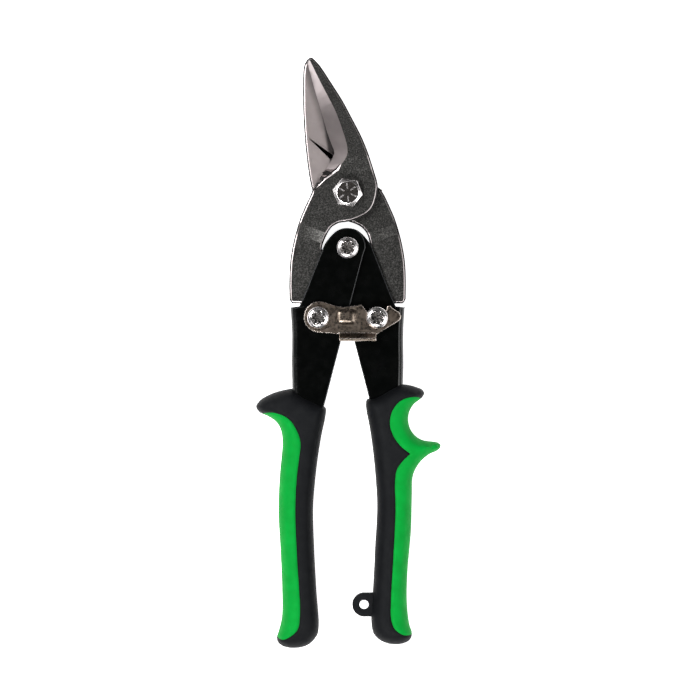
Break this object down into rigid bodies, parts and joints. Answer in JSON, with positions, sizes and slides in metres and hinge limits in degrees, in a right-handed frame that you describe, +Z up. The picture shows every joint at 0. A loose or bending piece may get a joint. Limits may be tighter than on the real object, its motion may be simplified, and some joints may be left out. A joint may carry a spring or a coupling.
{
  "type": "aviation snips",
  "caption": "Compound-action sheet metal snips with offset jaws, folded steel handles, two-colour moulded grips and a swinging latch, closed and latched.",
  "frame": {"origin": "the point where the main pivot's axis meets the surface that the snips lie on, at the flat end of the main bolt", "axes": "+Y from the main pivot towards the jaw tips, +Z up along the pivot axes, out of the front face with the bolt's head; +X towards the right handle"},
  "size_m": [0.0781, 0.2507, 0.0222],
  "materials": {
    "forged_blade": "forged and blasted dark steel with ground cutting bevels and polished edges",
    "handle_paint": "gloss black coating on folded sheet steel",
    "chrome_screw": "bright plated screws",
    "nickel_latch": "warm nickel-plated pressed steel",
    "zinc_nut": "zinc-plated steel, satin",
    "spring_steel": "oiled spring wire",
    "grip_black": "matt black moulded grip",
    "grip_green": "matt green soft inlay"
  },
  "bodies": {
    "left_handle": {"left_handle": "handle_paint", "left_grip_body": "grip_black", "left_grip_inlay": "grip_green", "handle_pivot_screw": "chrome_screw", "handle_pivot_nut": "zinc_nut", "handle_pivot_sleeve": "zinc_nut", "return_spring": "spring_steel", "left_link_screw": "chrome_screw", "left_link_nut": "zinc_nut", "latch_washer": "nickel_latch"},
    "right_handle": {"right_handle": "handle_paint", "right_grip_body": "grip_black", "right_grip_inlay": "grip_green", "right_link_screw": "chrome_screw", "right_link_nut": "zinc_nut"},
    "front_blade": {"front_blade": "forged_blade", "pivot_bolt": "chrome_screw", "pivot_washer": "zinc_nut", "pivot_nut": "zinc_nut"},
    "rear_blade": {"rear_blade": "forged_blade"},
    "latch": {"latch": "nickel_latch"}
  },
  "joints": [
    {"name": "handle_pivot", "type": "hinge", "parent": "left_handle", "child": "right_handle", "pos_m": [0, -0.0233, 0.01], "axis": [0, 0, 1], "range_deg": [0, 30], "deforming": ["return_spring"]},
    {"name": "left_link", "type": "hinge", "parent": "left_handle", "child": "front_blade", "pos_m": [-0.01245, -0.05295, 0.01], "axis": [0, 0, 1], "range_deg": [0, 7]},
    {"name": "right_link", "type": "hinge", "parent": "right_handle", "child": "rear_blade", "pos_m": [0.01245, -0.05295, 0.01], "axis": [0, 0, 1], "range_deg": [-7, 0]},
    {"name": "latch_pivot", "type": "hinge", "parent": "left_handle", "child": "latch", "pos_m": [-0.01245, -0.05295, 0.0167], "axis": [0, 0, 1], "range_deg": [-76, 0]}
  ],
  "couplings": [
    {"joint": "left_link", "follows": "handle_pivot", "ratio": 0.231},
    {"joint": "right_link", "follows": "handle_pivot", "ratio": -0.231},
    {"joint": "latch_pivot", "follows": "handle_pivot", "ratio": -2.5}
  ]
}
